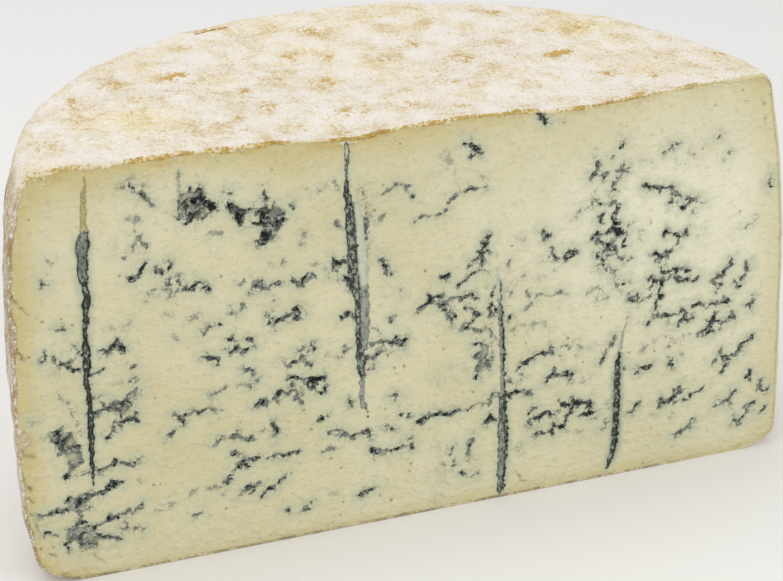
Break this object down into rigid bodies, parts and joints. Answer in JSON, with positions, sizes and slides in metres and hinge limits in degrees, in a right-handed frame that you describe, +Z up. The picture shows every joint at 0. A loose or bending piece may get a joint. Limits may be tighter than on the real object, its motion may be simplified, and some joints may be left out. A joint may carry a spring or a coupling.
{
  "type": "blue cheese wedge",
  "caption": "Half wheel of natural-rind blue cheese, cut near its diameter and standing on its base, with a barrel-shaped wall and needle channels in the cut face.",
  "frame": {"origin": "middle of the footprint's bounding box, on the surface that the cheese stands on", "axes": "+Z up, +X along the cut face, +Y from the cut face into the cheese"},
  "size_m": [0.2024, 0.1034, 0.1091],
  "materials": {
    "paste": "moist cream-coloured paste with blue-green mould veins, slight sheen",
    "rind": "dry floury rind, off-white with tan and ochre patches"
  },
  "bodies": {
    "root": {"cheese": "paste"}
  },
  "joints": []
}
